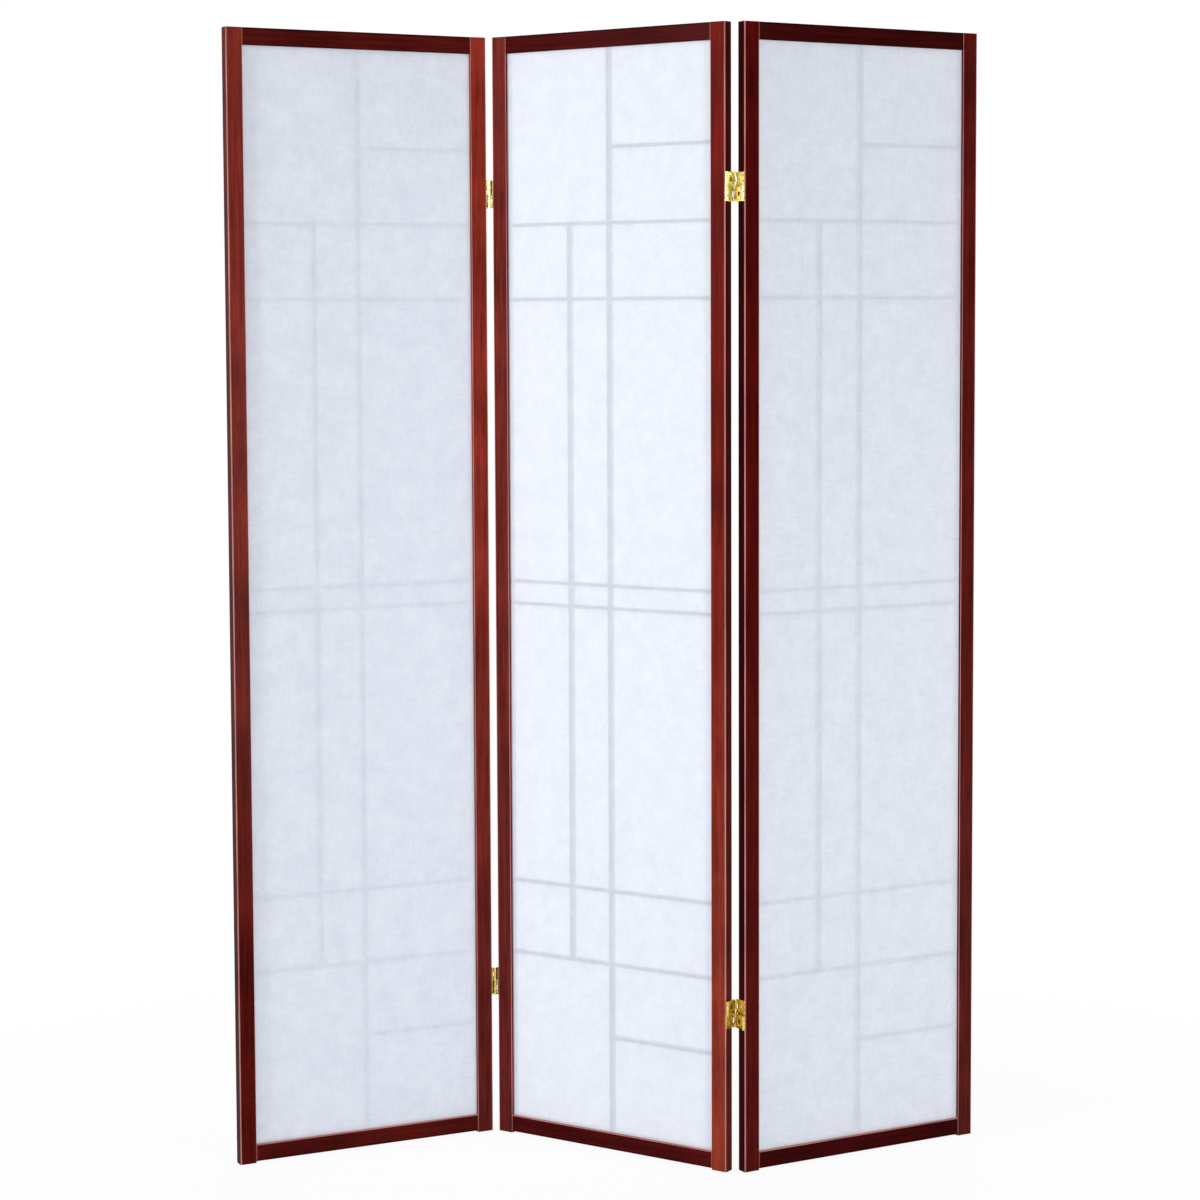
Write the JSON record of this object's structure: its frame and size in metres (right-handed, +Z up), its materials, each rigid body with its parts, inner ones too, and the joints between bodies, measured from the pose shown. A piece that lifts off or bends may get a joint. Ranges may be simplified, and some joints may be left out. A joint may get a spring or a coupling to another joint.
{
  "type": "shoji folding screen",
  "caption": "Free-standing folding screen of paper panels in a dark wood frame with a kumiko lattice, joined by two-way hinges so that it folds flat or stands in a zigzag.",
  "frame": {"origin": "floor point under the middle of the standing screen", "axes": "+Z up, +X along the screen's general line from the left panel to the right one, -Y towards the paper side"},
  "size_m": [1.1756, 0.256, 1.785],
  "materials": {
    "frame_wood": "cherry stain under a satin lacquer",
    "lattice_wood": "cherry stain under a satin lacquer",
    "paper": "translucent white fibre paper",
    "hinge_brass": "bright brass plate",
    "screw_brass": "bright brass plate"
  },
  "bodies": {
    "centre_panel": {"centre_bottom_rail": "frame_wood", "centre_crossbar_1": "lattice_wood", "centre_crossbar_2": "lattice_wood", "centre_crossbar_3": "lattice_wood", "centre_crossbar_4": "lattice_wood", "centre_crossbar_5": "lattice_wood", "centre_crossbar_6": "lattice_wood", "centre_left_stile": "frame_wood", "centre_long_upright": "lattice_wood", "centre_paper": "paper", "centre_right_stile": "frame_wood", "centre_short_crossbars": "lattice_wood", "centre_short_upright": "lattice_wood", "centre_top_rail": "frame_wood", "hinge_pins_centre": "hinge_brass", "hinge_screws_centre": "screw_brass", "ridge_leaves_centre": "hinge_brass", "valley_leaves_centre": "hinge_brass"},
    "left_panel": {"hinge_pins_left": "hinge_brass", "hinge_screws_left": "screw_brass", "left_bottom_rail": "frame_wood", "left_crossbar_1": "lattice_wood", "left_crossbar_2": "lattice_wood", "left_crossbar_3": "lattice_wood", "left_crossbar_4": "lattice_wood", "left_crossbar_5": "lattice_wood", "left_crossbar_6": "lattice_wood", "left_left_stile": "frame_wood", "left_long_upright": "lattice_wood", "left_paper": "paper", "left_right_stile": "frame_wood", "left_short_crossbars": "lattice_wood", "left_short_upright": "lattice_wood", "left_top_rail": "frame_wood", "valley_leaves_left": "hinge_brass"},
    "right_panel": {"hinge_pins_right": "hinge_brass", "hinge_screws_right": "screw_brass", "ridge_leaves_right": "hinge_brass", "right_bottom_rail": "frame_wood", "right_crossbar_1": "lattice_wood", "right_crossbar_2": "lattice_wood", "right_crossbar_3": "lattice_wood", "right_crossbar_4": "lattice_wood", "right_crossbar_5": "lattice_wood", "right_crossbar_6": "lattice_wood", "right_left_stile": "frame_wood", "right_long_upright": "lattice_wood", "right_paper": "paper", "right_right_stile": "frame_wood", "right_short_crossbars": "lattice_wood", "right_short_upright": "lattice_wood", "right_top_rail": "frame_wood"},
    "valley_upper_links": {"valley_upper_links": "hinge_brass"},
    "valley_lower_links": {"valley_lower_links": "hinge_brass"},
    "ridge_upper_links": {"ridge_upper_links": "hinge_brass"},
    "ridge_lower_links": {"ridge_lower_links": "hinge_brass"}
  },
  "joints": [
    {"name": "valley_reverse", "type": "hinge", "parent": "centre_panel", "child": "valley_upper_links", "pos_m": [-0.18006, 0.12308, 0.8925], "axis": [0, 0, -1], "range_deg": [0, 90]},
    {"name": "valley_fold", "type": "hinge", "parent": "valley_upper_links", "child": "left_panel", "pos_m": [-0.19233, 0.10246, 0.8925], "axis": [0, 0, 1], "range_deg": [-60, 120]},
    {"name": "valley_lower_link", "type": "hinge", "parent": "left_panel", "child": "valley_lower_links", "pos_m": [-0.20406, 0.1234, 0.8925], "axis": [0, 0, 1], "range_deg": [0, 90]},
    {"name": "ridge_reverse", "type": "hinge", "parent": "centre_panel", "child": "ridge_upper_links", "pos_m": [0.19096, -0.12558, 0.8925], "axis": [0, 0, -1], "range_deg": [0, 90]},
    {"name": "ridge_fold", "type": "hinge", "parent": "ridge_upper_links", "child": "right_panel", "pos_m": [0.20323, -0.10495, 0.8925], "axis": [0, 0, 1], "range_deg": [-63, 117]},
    {"name": "ridge_lower_link", "type": "hinge", "parent": "right_panel", "child": "ridge_lower_links", "pos_m": [0.21604, -0.12525, 0.8925], "axis": [0, 0, 1], "range_deg": [0, 90]}
  ],
  "couplings": [
    {"joint": "valley_lower_link", "follows": "valley_reverse", "ratio": 1},
    {"joint": "ridge_lower_link", "follows": "ridge_reverse", "ratio": 1}
  ]
}
